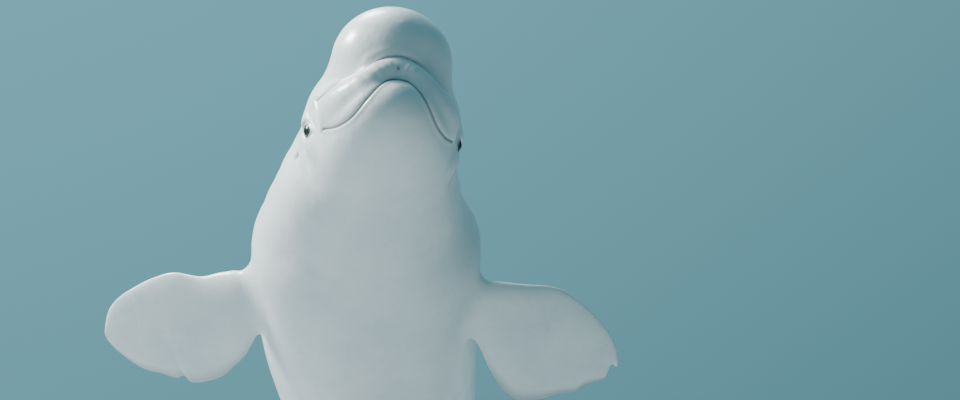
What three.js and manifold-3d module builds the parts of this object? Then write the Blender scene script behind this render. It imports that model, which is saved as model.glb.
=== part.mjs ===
// A life-size beluga whale, upright in the water with its flippers spread, on a museum display stand.
// Millimetres, +Z up, the belly towards -Y. The origin is the middle of the base's underside.
//
// The body is first described straight: s runs back from the snout tip, w to the whale's left,
// h up towards its back. The bend() function then lays it along the curved line of the spine.
import * as THREE from 'three';
import { mergeVertices } from 'three/addons/utils/BufferGeometryUtils.js';
import Module from 'manifold-3d';

const wasm = await Module();
wasm.setup();

// Driving dimensions
const GAP = 0.3;                        // air left between touching pieces
const SNOUT = [170, -1293, 2300];       // the snout tip, with the centre of mass over the base
const YAW = 4.37;                       // the whole whale turned about Z, degrees
const LEAN = 0.26;                      // the whole whale leant to its left, degrees
// The spine: distance from the snout, slope from the vertical, turn to the whale's left (degrees)
const SPINE = [
  [0, 60, -9.1],
  [420, 60, -9.1],
  [700, 54.7, -4.2],
  [1000, 47.9, -0.3],
  [1900, 60.3, 5.5],
  [3000, 62, 5.5],
  [3900, 66, 5.5],
];
// The trunk: distance from the snout, half width, height above the spine, depth below it
const TRUNK = [
  [100, 40, 50, 40],
  [220, 120, 150, 105],
  [340, 183, 205, 150],
  [480, 239, 225, 185],
  [620, 276, 248, 225],
  [800, 347, 290, 275],
  [1050, 357, 335, 325],
  [1400, 360, 360, 360],
  [1800, 350, 352, 365],
  [2200, 300, 310, 320],
  [2600, 225, 252, 250],
  [3000, 145, 185, 170],
  [3300, 88, 125, 115],
  [3520, 60, 74, 68],
  [3640, 50, 42, 40],
  [3700, 34, 22, 22],
];
const TRUNK_FRONT = TRUNK[0][0];
const TRUNK_END = 3694;
const SQUARENESS = 2.15;                // exponent of the trunk's rounded section

// Head, as smooth lumps that melt into each other: [s, w, h] centres and radii
const CRANIUM = { at: [333, 0, 85], radii: [214, 211, 190], blend: 60 };
const JAW = { at: [308, 0, -20], radii: [268, 161, 115], blend: 50 };
const CHIN = { at: [128, 0, 0], radii: [80, 84, 56], blend: 34 };
const MELON = { at: [171, 0, 175], radii: [156, 156, 137], blend: 50 };
// The upper lip, a roll round the front of the head: [s, w, h, radius] from cheek to front
const LIP = [
  [262, 134, 34, 48],
  [205, 122, 30, 54],
  [150, 100, 28, 54],
  [108, 68, 36, 50],
  [86, 34, 63, 41],
  [83, 13, 75, 38],
  [82, 0, 76, 37],
];
const LIP_BLEND = 16;
// The line of the mouth, [s, w, h], from the front round to the corner
const MOUTH = [
  [52, 0, 37],
  [51, 20, 33],
  [52, 36, 20],
  [54, 50, 4],
  [62, 66, -15],
  [74, 78, -27],
  [90, 90, -38],
  [112, 104, -46],
  [134, 117, -47],
  [170, 138, -40],
  [212, 162, -20],
];
const MOUTH_MIDDLE = [250, 0, -10];     // the mouth's cut fans out from this point
const THROAT = [318, -260];             // and runs from the corner to this [s, h]
const MOUTH_OPEN = 2;                   // width of the line of the mouth

// Eyes, on both sides
const EYE = { s: 300, h: 28, radius: 18, depth: 12 };
const LID = { halfLength: 18.5, halfHeight: 13, tube: 4.2, tilt: -35 };
// Blowhole, a crescent open towards the front, on top of the head
const BLOWHOLE = { s: 372, radius: 30, halfAngle: 62, tube: 5 };
// Low ridge along the back, in place of a dorsal fin
const RIDGE = { start: 1880, end: 2640, height: 24, lobes: 9 };

// Where the body is parted
const NECK_START = 500;
const CHEST_START = 720;
const ABDOMEN_START = 1400;
const TAIL_START = 2450;

// Flippers: outlines [out from the body, down the body], root to tip, and how they are held
const FLIPPER_ROOT = { s: 950, below: 20 };
const FLIPPER_TILT = 22;                // the front edge forward of the back edge, degrees
const FLIPPER_SWEEP = 8;                // the tip behind the root, degrees
const FLIPPER_THICK = { root: 40, tip: 7, fade: 1.5 };
const FLIPPER_CURL = 34;                // how far the tip bends towards the back
const FLIPPER_RIGHT = {
  front: [[-80, -80], [0, -108], [104, -97], [169, -82], [258, -93], [335, -70], [424, -23], [512, 53], [547, 143]],
  back: [[-80, 76], [0, 97], [67, 189], [154, 269], [224, 295], [296, 281], [369, 273], [461, 245], [524, 192], [547, 143]],
};
const FLIPPER_LEFT = {
  front: [[-80, -78], [0, -80], [170, -59], [261, -45], [322, -9], [409, 73], [472, 159], [501, 255]],
  back: [[-80, 76], [0, 120], [67, 249], [109, 318], [156, 361], [240, 366], [336, 349], [388, 325], [459, 306], [501, 255]],
};

// One fluke, [out, s], root to tip, in the plane across the tail
const FLUKE = {
  front: [[0, 3400], [60, 3440], [190, 3500], [330, 3590], [430, 3670], [478, 3752]],
  back: [[0, 3700], [30, 3722], [100, 3786], [220, 3822], [350, 3812], [440, 3782], [478, 3752]],
  thick: { root: 30, tip: 5, fade: 1.3 },
  droop: 26,
};

// Display stand
const BASE = { width: 900, length: 1700, height: 50, bevel: 8, corner: 60 };
const ROD_RADIUS = 35;
const FLANGE = { radius: 95, height: 16, rise: 14 };
const RODS = { stand_rod_front: 1350, stand_rod_rear: 2440 };

// How fine the faceted surfaces are
const COLUMNS = 56;
const FAN_RINGS = 24;
const BODY_RINGS = 34;
const HEAD_MIDDLE = [400, 36];          // [s, h] that the head's rings fan out from

const radians = THREE.MathUtils.degToRad;

// A smooth curve through a table's rows that never overshoots them
function smoothTable(xs, ys) {
  const gaps = xs.slice(1).map((x, i) => x - xs[i]);
  const slopes = gaps.map((gap, i) => (ys[i + 1] - ys[i]) / gap);
  const tangents = xs.map((x, i) => {
    if (i === 0) return slopes[0];
    if (i === xs.length - 1) return slopes[i - 1];
    if (slopes[i - 1] * slopes[i] <= 0) return 0;
    const before = 2 * gaps[i] + gaps[i - 1];
    const after = gaps[i] + 2 * gaps[i - 1];
    return (before + after) / (before / slopes[i - 1] + after / slopes[i]);
  });
  return (x) => {
    let i = 0;
    while (i < xs.length - 2 && x > xs[i + 1]) i += 1;
    const t = THREE.MathUtils.clamp((x - xs[i]) / gaps[i], 0, 1);
    const u = 1 - t;
    return ys[i] * (1 + 2 * t) * u * u + gaps[i] * tangents[i] * t * u * u
      + ys[i + 1] * t * t * (3 - 2 * t) - gaps[i] * tangents[i + 1] * t * t * u;
  };
}
const column = (table, k) => smoothTable(table.map((row) => row[0]), table.map((row) => row[k]));
const halfWidth = column(TRUNK, 1);
const heightAbove = column(TRUNK, 2);
const depthBelow = column(TRUNK, 3);

// The bent spine, stepped every 10 mm
const SPINE_STEP = 10;
const slopeAt = column(SPINE, 1);
const turnAt = column(SPINE, 2);

function spineFrame(s) {
  const slope = radians(slopeAt(s));
  const turn = radians(turnAt(s));
  return {
    along: new THREE.Vector3(Math.sin(turn), Math.cos(turn) * Math.sin(slope), -Math.cos(turn) * Math.cos(slope)),
    left: new THREE.Vector3(Math.cos(turn), -Math.sin(turn) * Math.sin(slope), Math.sin(turn) * Math.cos(slope)),
    up: new THREE.Vector3(0, Math.cos(slope), Math.sin(slope)),
  };
}

const spinePoints = [new THREE.Vector3()];
for (let s = SPINE_STEP; s <= SPINE.at(-1)[0]; s += SPINE_STEP) {
  const { along } = spineFrame(s - SPINE_STEP / 2);
  spinePoints.push(spinePoints.at(-1).clone().addScaledVector(along, SPINE_STEP));
}

function spinePoint(s) {
  const i = THREE.MathUtils.clamp(Math.floor(s / SPINE_STEP), 0, spinePoints.length - 2);
  return spinePoints[i].clone().lerp(spinePoints[i + 1], s / SPINE_STEP - i);
}

function bend([s, w, h]) {
  const { left, up } = spineFrame(s);
  return spinePoint(s).addScaledVector(left, w).addScaledVector(up, h);
}

// Distance fields, negative inside
function blend(a, b, width) {
  const t = THREE.MathUtils.clamp(0.5 + (0.5 * (b - a)) / width, 0, 1);
  return b * (1 - t) + a * t - width * t * (1 - t);
}

function ellipsoid(point, { at, radii }) {
  let near = 0;
  let far = 0;
  for (let k = 0; k < 3; k += 1) {
    const d = (point[k] - at[k]) / radii[k];
    near += d * d;
    far += (d / radii[k]) ** 2;
  }
  return (Math.sqrt(near) * (Math.sqrt(near) - 1)) / (Math.sqrt(far) + 1e-9);
}

const lipCurve = new THREE.CatmullRomCurve3(LIP.map(([s, w, h]) => new THREE.Vector3(s, w, h)));
const LIP_STEPS = 12;
const lipRoll = Array.from({ length: LIP_STEPS + 1 }, (_, i) => {
  const t = i / LIP_STEPS;
  const row = Math.min(Math.floor(t * (LIP.length - 1)), LIP.length - 2);
  const part = t * (LIP.length - 1) - row;
  return { centre: lipCurve.getPoint(t), radius: LIP[row][3] * (1 - part) + LIP[row + 1][3] * part };
});

function lipDistance(point) {
  const place = new THREE.Vector3(...point);
  let best = Infinity;
  for (let i = 0; i < LIP_STEPS; i += 1) {
    const a = lipRoll[i];
    const b = lipRoll[i + 1];
    const side = b.centre.clone().sub(a.centre);
    const t = THREE.MathUtils.clamp(place.clone().sub(a.centre).dot(side) / side.lengthSq(), 0, 1);
    const radius = a.radius + (b.radius - a.radius) * t;
    best = Math.min(best, place.distanceTo(a.centre.clone().addScaledVector(side, t)) - radius);
  }
  return best;
}

function bodyDistance(s, w, h) {
  const point = [s, Math.abs(w), h];
  const station = THREE.MathUtils.clamp(s, TRUNK_FRONT, TRUNK.at(-1)[0]);
  const width = halfWidth(station);
  const height = h > 0 ? heightAbove(station) : depthBelow(station);
  const ratio = ((point[1] / width) ** SQUARENESS + (Math.abs(h) / height) ** SQUARENESS) ** (1 / SQUARENESS);
  let field = (ratio - 1) * Math.min(width, height);
  if (s < TRUNK_FRONT) field = Math.hypot(Math.max(field, 0), TRUNK_FRONT - s);
  if (s > 900) return field;
  for (const lump of [CRANIUM, JAW, CHIN, MELON]) field = blend(field, ellipsoid(point, lump), lump.blend);
  return blend(field, lipDistance(point), LIP_BLEND);
}

// Where a ray from inside leaves the body
function reach(start, direction, distance = bodyDistance) {
  let inside = 0;
  let outside = 700;
  for (let k = 0; k < 24; k += 1) {
    const middle = (inside + outside) / 2;
    const [s, w, h] = start.map((v, i) => v + direction[i] * middle);
    if (distance(s, w, h) < 0) inside = middle;
    else outside = middle;
  }
  return inside;
}

// The back's low ridge, broken into small steps as the real one is
function ridgeRise(s) {
  const t = (s - RIDGE.start) / (RIDGE.end - RIDGE.start);
  if (t <= 0 || t >= 1) return 0;
  return RIDGE.height * Math.sin(Math.PI * t) ** 0.7 * (0.78 + 0.22 * Math.cos(2 * Math.PI * RIDGE.lobes * t));
}

// Rings of points round the body: a fan over the head, then steps along the trunk
function bodyRings() {
  const rings = [];
  const middleHeight = smoothTable([HEAD_MIDDLE[0], 850, TRUNK_END], [HEAD_MIDDLE[1], 0, 0]);
  for (let i = 1; i <= FAN_RINGS; i += 1) {
    rings.push({ start: [HEAD_MIDDLE[0], 0, HEAD_MIDDLE[1]], tilt: (i / FAN_RINGS) * (Math.PI / 2) });
  }
  for (let i = 1; i <= BODY_RINGS; i += 1) {
    const t = i / BODY_RINGS;
    const s = HEAD_MIDDLE[0] + (TRUNK_END - HEAD_MIDDLE[0]) * t;
    rings.push({ start: [s, 0, middleHeight(s)], tilt: Math.PI / 2 });
  }
  return rings.map(({ start, tilt }) => Array.from({ length: COLUMNS }, (_, j) => {
    const turn = (j / COLUMNS) * 2 * Math.PI;
    const direction = [-Math.cos(tilt), Math.sin(tilt) * Math.cos(turn), Math.sin(tilt) * Math.sin(turn)];
    let length = reach(start, direction);
    if (j === COLUMNS / 4) length += ridgeRise(start[0]);
    return start.map((v, k) => v + direction[k] * length);
  }));
}

// A closed mesh from rings of points, with a point at each end, all in straight or bent space
function loft(rings, first, last) {
  const count = rings[0].length;
  const points = [first, ...rings.flat(), last];
  const end = points.length - 1;
  const faces = [];
  for (let j = 0; j < count; j += 1) {
    const next = (j + 1) % count;
    faces.push([0, 1 + next, 1 + j]);
    const base = 1 + (rings.length - 1) * count;
    faces.push([base + j, base + next, end]);
    for (let i = 0; i < rings.length - 1; i += 1) {
      const a = 1 + i * count;
      const b = a + count;
      faces.push([a + j, a + next, b + next], [a + j, b + next, b + j]);
    }
  }
  const geometry = new THREE.BufferGeometry();
  geometry.setAttribute('position', new THREE.Float32BufferAttribute(points.flatMap((p) => [...p]), 3));
  geometry.setIndex(faces.flat());
  return facingOut(geometry);
}

// Signed volume, to turn a mesh's faces outwards whichever way it was wound
function facingOut(geometry) {
  const place = geometry.attributes.position;
  const index = geometry.index;
  const [a, b, c] = [new THREE.Vector3(), new THREE.Vector3(), new THREE.Vector3()];
  let volume = 0;
  for (let i = 0; i < index.count; i += 3) {
    a.fromBufferAttribute(place, index.getX(i));
    b.fromBufferAttribute(place, index.getX(i + 1));
    c.fromBufferAttribute(place, index.getX(i + 2));
    volume += a.dot(b.cross(c));
  }
  if (volume < 0) {
    for (let i = 0; i < index.count; i += 3) {
      const swap = index.getX(i);
      index.setX(i, index.getX(i + 1));
      index.setX(i + 1, swap);
    }
  }
  return geometry;
}

// The same mesh grown by a small clearance along its normals
function grown(geometry, clearance) {
  const copy = geometry.clone();
  copy.computeVertexNormals();
  const { position, normal } = copy.attributes;
  for (let i = 0; i < position.count; i += 1) {
    position.setXYZ(
      i,
      position.getX(i) + normal.getX(i) * clearance,
      position.getY(i) + normal.getY(i) * clearance,
      position.getZ(i) + normal.getZ(i) * clearance,
    );
  }
  copy.deleteAttribute('normal');
  return copy;
}

// Between three.js geometry and solids that can be joined and cut
function solid(geometry) {
  const bare = geometry.clone();
  bare.deleteAttribute('normal');
  bare.deleteAttribute('uv');
  const merged = facingOut(mergeVertices(bare, 1e-3));
  return new wasm.Manifold(new wasm.Mesh({
    numProp: 3,
    vertProperties: new Float32Array(merged.attributes.position.array),
    triVerts: new Uint32Array(merged.index.array),
  }));
}

function largest(shape) {
  return shape.decompose().sort((a, b) => b.volume() - a.volume())[0];
}

function geometryOf(shape) {
  const mesh = shape.getMesh();
  const geometry = new THREE.BufferGeometry();
  geometry.setAttribute('position', new THREE.Float32BufferAttribute(mesh.vertProperties, 3));
  geometry.setIndex([...mesh.triVerts]);
  return geometry.toNonIndexed();
}

// Everything on one side of a cut across the spine
const CUT_SIZE = 5000;
function beyond(s, side) {
  const { along, left, up } = spineFrame(s);
  const box = new THREE.BoxGeometry(CUT_SIZE, CUT_SIZE, CUT_SIZE);
  box.translate(0, 0, side * (CUT_SIZE / 2 - GAP / 2));
  box.applyMatrix4(new THREE.Matrix4().makeBasis(up, left, along).setPosition(spinePoint(s)));
  return solid(box);
}

// The lower jaw's own space: under a fan through the line of the mouth, then down to the throat
function jawSpace(clearance) {
  const [throatS, throatH] = THROAT;
  const middle = new THREE.Vector3(...MOUTH_MIDDLE);
  const left = MOUTH.map((row) => {
    const far = new THREE.Vector3(...row).sub(middle).setLength(400).add(middle);
    return [far.x, far.y, far.z + clearance];
  });
  const rim = [...left.slice(1).reverse().map(([s, w, h]) => [s, -w, h]), ...left];
  const last = rim.length - 1;
  const floor = rim.map(([s, w], i) => [i === 0 || i === last ? throatS + clearance : s, w, throatH]);
  const points = [...rim, ...floor, [middle.x, 0, middle.z + clearance]];
  const centre = points.length - 1;
  const floorOf = (i) => rim.length + i;
  const faces = [];
  for (let i = 0; i < last; i += 1) {
    faces.push([i, i + 1, centre], [i + 1, i, floorOf(i)], [i + 1, floorOf(i), floorOf(i + 1)]);
    if (i > 0) faces.push([floorOf(0), floorOf(i + 1), floorOf(i)]);
  }
  faces.push([centre, last, floorOf(last)], [centre, floorOf(last), floorOf(0)], [centre, floorOf(0), 0]);
  const geometry = new THREE.BufferGeometry();
  const placed = points.flatMap((point) => [...bend(point)]);
  geometry.setAttribute('position', new THREE.Float32BufferAttribute(placed, 3));
  geometry.setIndex(faces.flat());
  return solid(geometry);
}

// A flat, tapered blade between a front and a back edge, each given root to tip
function blade({ front, back, thick, place, stations = 15, around = 14 }) {
  const spline = (points) => new THREE.CatmullRomCurve3(
    points.map(([x, y]) => new THREE.Vector3(x, y, 0)),
    false,
    'centripetal',
  );
  const frontEdge = spline(front);
  const backEdge = spline(back);
  const rings = [];
  for (let i = 0; i < stations; i += 1) {
    const t = Math.sin((i / stations) * (Math.PI / 2)) ** 0.9;
    const a = frontEdge.getPointAt(t);
    const b = backEdge.getPointAt(t);
    const chord = a.distanceTo(b);
    const half = Math.min(thick.tip + (thick.root - thick.tip) * (1 - t) ** thick.fade, chord * 0.35);
    rings.push(Array.from({ length: around }, (_, j) => {
      const turn = ((j + 0.5) / around) * 2 * Math.PI;
      const along = (1 - Math.cos(turn)) / 2;
      const point = a.clone().lerp(b, along);
      return place(point.x, point.y, half * Math.sin(turn) * (1 + 0.35 * Math.cos(turn)));
    }));
  }
  const root = frontEdge.getPoint(0).lerp(backEdge.getPoint(0), 0.5);
  const tip = frontEdge.getPoint(1);
  return loft(rings, place(root.x, root.y, 0), place(tip.x, tip.y, 0));
}

// A flipper's place: side is 1 on the whale's left and -1 on its right
function flipper(side, outline) {
  const turn = radians(side > 0 ? -FLIPPER_ROOT.below : 180 + FLIPPER_ROOT.below);
  const direction = [0, Math.cos(turn), Math.sin(turn)];
  const length = reach([FLIPPER_ROOT.s, 0, 0], direction);
  const root = bend([FLIPPER_ROOT.s, direction[1] * length, direction[2] * length]);
  const sweep = radians(FLIPPER_SWEEP);
  const tilt = radians(FLIPPER_TILT);
  const standing = new THREE.Matrix4().makeRotationFromEuler(whale.rotation).invert();
  const out = new THREE.Vector3(side * Math.cos(sweep), Math.sin(sweep), 0).transformDirection(standing);
  const down = new THREE.Vector3(0, Math.sin(tilt), -Math.cos(tilt)).transformDirection(standing);
  down.addScaledVector(out, -down.dot(out)).normalize();
  const back = new THREE.Vector3().crossVectors(down, out).multiplyScalar(side).negate();
  const reachOut = outline.front.at(-1)[0];
  const place = (x, y, z) => root.clone()
    .addScaledVector(out, x)
    .addScaledVector(down, y)
    .addScaledVector(back, z + FLIPPER_CURL * Math.max(x / reachOut, 0) ** 2.5);
  return blade({ ...outline, thick: FLIPPER_THICK, place });
}

function fluke(side) {
  const place = (out, s, thickness) => bend([
    s,
    side * (out + GAP / 2),
    thickness - FLUKE.droop * (out / FLUKE.front.at(-1)[0]) ** 2,
  ]);
  return blade({ ...FLUKE, place, stations: 13, around: 12 });
}

// The eye's centre, sunk under the skin, and the directions of its lids
function eyePlace(side) {
  const start = [EYE.s, 0, EYE.h];
  const length = reach(start, [0, side, 0]);
  const step = 4;
  const slope = (reach([EYE.s + step, 0, EYE.h], [0, side, 0]) - reach([EYE.s - step, 0, EYE.h], [0, side, 0])) / (2 * step);
  const rise = (reach([EYE.s, 0, EYE.h + step], [0, side, 0]) - reach([EYE.s, 0, EYE.h - step], [0, side, 0])) / (2 * step);
  const normal = new THREE.Vector3(-slope, side, -rise).normalize();
  const skin = new THREE.Vector3(EYE.s, side * length, EYE.h);
  return { skin, normal, centre: skin.clone().addScaledVector(normal, -EYE.depth) };
}

function eyeball(side, clearance = 0) {
  const ball = new THREE.SphereGeometry(EYE.radius + clearance, 20, 12);
  const { centre } = eyePlace(side);
  const middle = bend(centre.toArray());
  return ball.translate(middle.x, middle.y, middle.z);
}

function lids(side) {
  const { skin, normal } = eyePlace(side);
  const long = new THREE.Vector3(1, 0, 0).addScaledVector(normal, -normal.x).normalize();
  long.applyAxisAngle(normal, side * radians(LID.tilt));
  const high = new THREE.Vector3().crossVectors(normal, long);
  const ring = new THREE.TorusGeometry(1, LID.tube / LID.halfHeight, 8, 24);
  const position = ring.attributes.position;
  for (let i = 0; i < position.count; i += 1) {
    const point = skin.clone()
      .addScaledVector(normal, position.getZ(i) * LID.halfHeight - 0.5 * LID.tube)
      .addScaledVector(long, position.getX(i) * LID.halfLength)
      .addScaledVector(high, position.getY(i) * LID.halfHeight);
    position.setXYZ(i, ...bend(point.toArray()));
  }
  return ring;
}

function blowholeGroove() {
  const points = [];
  for (let i = 0; i <= 12; i += 1) {
    const turn = radians(BLOWHOLE.halfAngle) * (i / 6 - 1);
    const s = BLOWHOLE.s + BLOWHOLE.radius * (Math.cos(turn) - 1);
    const w = BLOWHOLE.radius * Math.sin(turn);
    const top = reach([s, w, 0], [0, 0, 1]);
    points.push(bend([s, w, top]));
  }
  const section = new THREE.Shape();
  for (let i = 0; i < 8; i += 1) {
    const turn = (i / 8) * 2 * Math.PI;
    const [x, y] = [BLOWHOLE.tube * Math.cos(turn), BLOWHOLE.tube * Math.sin(turn)];
    if (i === 0) section.moveTo(x, y);
    else section.lineTo(x, y);
  }
  section.closePath();
  const path = new THREE.CatmullRomCurve3(points);
  return new THREE.ExtrudeGeometry(section, { steps: 16, bevelEnabled: false, extrudePath: path });
}

// Materials
const finish = (color, roughness, metalness = 0) => new THREE.MeshStandardMaterial({ color, roughness, metalness });
const SKIN = finish(0xe9eef0, 0.45);
const FIN_SKIN = finish(0xdde4e8, 0.45);
const EYE_DARK = finish(0x241d1b, 0.12);
const BASE_PAINT = finish(0x30353a, 0.6);
const STEEL = finish(0xb9bcc0, 0.35, 1);

const model = new THREE.Group();
const whale = new THREE.Group();
whale.position.set(...SNOUT);
whale.rotation.set(0, radians(LEAN), radians(YAW), 'ZYX');
whale.updateMatrix();
model.add(whale);

function addMesh(group, name, geometry, material) {
  const mesh = new THREE.Mesh(geometry, material);
  mesh.name = name;
  group.add(mesh);
  return mesh;
}

// Body, parted by thin cuts
const rings = bodyRings().map((ring) => ring.map(bend));
const pole = HEAD_MIDDLE[0] - reach([HEAD_MIDDLE[0], 0, HEAD_MIDDLE[1]], [-1, 0, 0]);
const bodyGeometry = loft(rings, bend([pole, 0, HEAD_MIDDLE[1]]), bend([TRUNK.at(-1)[0], 0, 0]));
const body = solid(bodyGeometry);
const bodyClear = solid(grown(bodyGeometry, 1.1 * GAP));

let head = body.subtract(beyond(NECK_START, 1));
const jaw = largest(head.intersect(jawSpace(0)));
head = head.subtract(jawSpace(MOUTH_OPEN));
for (const side of [-1, 1]) head = head.add(solid(lids(side)));
for (const side of [-1, 1]) head = head.subtract(solid(eyeball(side, GAP)));
head = largest(head.subtract(solid(blowholeGroove())));
addMesh(whale, 'head', geometryOf(head), SKIN);
addMesh(whale, 'lower_jaw', geometryOf(jaw), SKIN);

const LENGTHS = [
  ['neck', NECK_START, CHEST_START],
  ['chest', CHEST_START, ABDOMEN_START],
  ['abdomen', ABDOMEN_START, TAIL_START],
];
for (const [name, from, to] of LENGTHS) {
  const length = body.subtract(beyond(from, -1)).subtract(beyond(to, 1));
  addMesh(whale, name, geometryOf(largest(length)), SKIN);
}
addMesh(whale, 'tail_stock', geometryOf(largest(body.subtract(beyond(TAIL_START, -1)))), SKIN);

// Eyes, flippers and flukes
for (const [name, side] of [['right', -1], ['left', 1]]) {
  addMesh(whale, `eye_${name}`, geometryOf(solid(eyeball(side))), EYE_DARK);
  const outline = side > 0 ? FLIPPER_LEFT : FLIPPER_RIGHT;
  const fin = largest(solid(flipper(side, outline)).subtract(bodyClear));
  addMesh(whale, `flipper_${name}`, geometryOf(fin), FIN_SKIN);
  const half = largest(solid(fluke(side)).subtract(bodyClear));
  addMesh(whale, `fluke_${name}`, geometryOf(half), FIN_SKIN);
}

// Display stand: a flat base, and two rods up to the belly, each on a round flange
function baseGeometry() {
  const shape = new THREE.Shape();
  const x = BASE.width / 2 - BASE.bevel;
  const y = BASE.length / 2 - BASE.bevel;
  const r = BASE.corner;
  shape.moveTo(-x + r, -y);
  shape.lineTo(x - r, -y);
  shape.absarc(x - r, -y + r, r, -Math.PI / 2, 0);
  shape.lineTo(x, y - r);
  shape.absarc(x - r, y - r, r, 0, Math.PI / 2);
  shape.lineTo(-x + r, y);
  shape.absarc(-x + r, y - r, r, Math.PI / 2, Math.PI);
  shape.lineTo(-x, -y + r);
  shape.absarc(-x + r, -y + r, r, Math.PI, 1.5 * Math.PI);
  const geometry = new THREE.ExtrudeGeometry(shape, {
    depth: BASE.height - 2 * BASE.bevel,
    bevelThickness: BASE.bevel,
    bevelSize: BASE.bevel,
    bevelSegments: 1,
    curveSegments: 5,
  });
  return geometry.translate(0, 0, BASE.bevel);
}
addMesh(model, 'stand_base', geometryOf(solid(baseGeometry())), BASE_PAINT);

const ROD_BOTTOM = BASE.height + GAP;
for (const [name, s] of Object.entries(RODS)) {
  const above = spinePoint(s).applyMatrix4(whale.matrix);
  const profile = [
    [0, 0],
    [FLANGE.radius, 0],
    [FLANGE.radius, FLANGE.height],
    [ROD_RADIUS + FLANGE.rise, FLANGE.height + FLANGE.rise * 0.4],
    [ROD_RADIUS, FLANGE.height + FLANGE.rise * 2],
    [ROD_RADIUS, above.z - ROD_BOTTOM],
    [0, above.z - ROD_BOTTOM],
  ];
  const rod = new THREE.LatheGeometry(profile.map(([r, z]) => new THREE.Vector2(r, z)), 28);
  rod.rotateX(Math.PI / 2).translate(above.x, above.y, ROD_BOTTOM);
  const cut = solid(rod).subtract(bodyClear.transform([...whale.matrix.elements]));
  const piece = cut.decompose().sort((a, b) => a.boundingBox().min[2] - b.boundingBox().min[2])[0];
  const mesh = addMesh(model, name, geometryOf(piece.translate([-above.x, -above.y, 0])), STEEL);
  mesh.position.set(above.x, above.y, 0);
}

export default model;
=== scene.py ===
# A life-size beluga whale on a museum display stand, upright with its flippers spread.
# Metres, +Z up, the belly towards -Y, and the origin in the middle of the base's underside.
import math

import bmesh
import bpy
import numpy as np
from mathutils import Euler, Matrix, Vector, kdtree


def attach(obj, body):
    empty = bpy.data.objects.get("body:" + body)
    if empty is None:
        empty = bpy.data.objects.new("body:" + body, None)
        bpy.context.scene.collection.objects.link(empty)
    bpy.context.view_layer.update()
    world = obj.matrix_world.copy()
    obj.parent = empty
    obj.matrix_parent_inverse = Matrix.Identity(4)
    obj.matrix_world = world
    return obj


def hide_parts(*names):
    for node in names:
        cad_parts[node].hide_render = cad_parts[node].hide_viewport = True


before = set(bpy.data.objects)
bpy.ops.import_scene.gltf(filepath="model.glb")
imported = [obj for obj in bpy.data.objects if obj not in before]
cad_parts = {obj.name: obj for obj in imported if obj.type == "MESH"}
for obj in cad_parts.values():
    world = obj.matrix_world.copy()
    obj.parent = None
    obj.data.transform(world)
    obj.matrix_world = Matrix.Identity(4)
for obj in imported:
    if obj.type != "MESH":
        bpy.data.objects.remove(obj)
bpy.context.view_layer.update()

# Camera
# It stands in front of the whale, level, 0.285 m below its snout, and looks along +Y.
# Its place is told from the snout, because that is how the pose was measured.
SNOUT = Vector((0.170, -1.293, 2.300))
SNOUT_FROM_CAMERA = Vector((-0.183, 2.189, 0.285))
FRAME_WIDTH_PX = 960
FOCAL_PX = 934
SENSOR_MM = 36

camera_data = bpy.data.cameras.new("camera")
camera_data.sensor_width = SENSOR_MM
camera_data.lens = SENSOR_MM * FOCAL_PX / FRAME_WIDTH_PX
camera_data.clip_end = 100
camera = bpy.data.objects.new("camera", camera_data)
bpy.context.scene.collection.objects.link(camera)
camera.location = SNOUT - SNOUT_FROM_CAMERA
camera.rotation_euler = (math.radians(90), 0, 0)
bpy.context.scene.camera = camera

# Body skin
# One smooth hide from lips to flukes, thick and rubbery, over a melon, lips, jaw and a barrel of a body.
# It is described straight (s back from the snout, w to the left, h up the back) and laid along the spine.
YAW = math.radians(4.37)
LEAN = math.radians(0.26)
# Distance from the snout, slope from the vertical, turn to the whale's left
SPINE = np.array([
    (0, 60, -9.1),
    (0.42, 60, -9.1),
    (0.70, 54.7, -4.2),
    (1.0, 47.9, -0.3),
    (1.9, 60.3, 5.5),
    (3.0, 62, 5.5),
    (3.9, 66, 5.5),
])
# Distance from the snout, half width, height above the spine, depth below it
TRUNK = np.array([
    (0.10, 0.040, 0.050, 0.040),
    (0.22, 0.120, 0.150, 0.105),
    (0.34, 0.183, 0.205, 0.150),
    (0.48, 0.239, 0.225, 0.185),
    (0.62, 0.276, 0.248, 0.225),
    (0.80, 0.347, 0.290, 0.275),
    (1.05, 0.357, 0.335, 0.325),
    (1.40, 0.360, 0.360, 0.360),
    (1.80, 0.350, 0.352, 0.365),
    (2.20, 0.300, 0.310, 0.320),
    (2.60, 0.225, 0.252, 0.250),
    (3.00, 0.145, 0.185, 0.170),
    (3.30, 0.088, 0.125, 0.115),
    (3.52, 0.060, 0.074, 0.068),
    (3.64, 0.050, 0.042, 0.040),
    (3.70, 0.034, 0.022, 0.022),
])
TRUNK_END = 3.694
SQUARENESS = 2.15
# Lumps of the head: centre, radii and how softly each melts in
CRANIUM = ((0.333, 0, 0.085), (0.214, 0.211, 0.190), 0.060)
JAW = ((0.308, 0, -0.020), (0.268, 0.161, 0.115), 0.050)
CHIN = ((0.128, 0, 0.000), (0.080, 0.084, 0.056), 0.034)
MELON = ((0.171, 0, 0.175), (0.156, 0.156, 0.137), 0.050)
# The upper lip, a roll round the front of the head: s, w, h and radius, cheek to front
LIP = np.array([
    (0.262, 0.134, 0.034, 0.046),
    (0.205, 0.122, 0.030, 0.050),
    (0.150, 0.100, 0.028, 0.050),
    (0.108, 0.068, 0.036, 0.046),
    (0.086, 0.034, 0.063, 0.037),
    (0.083, 0.013, 0.075, 0.034),
    (0.082, 0.000, 0.076, 0.033),
])
LIP_BLEND = 0.014
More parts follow.
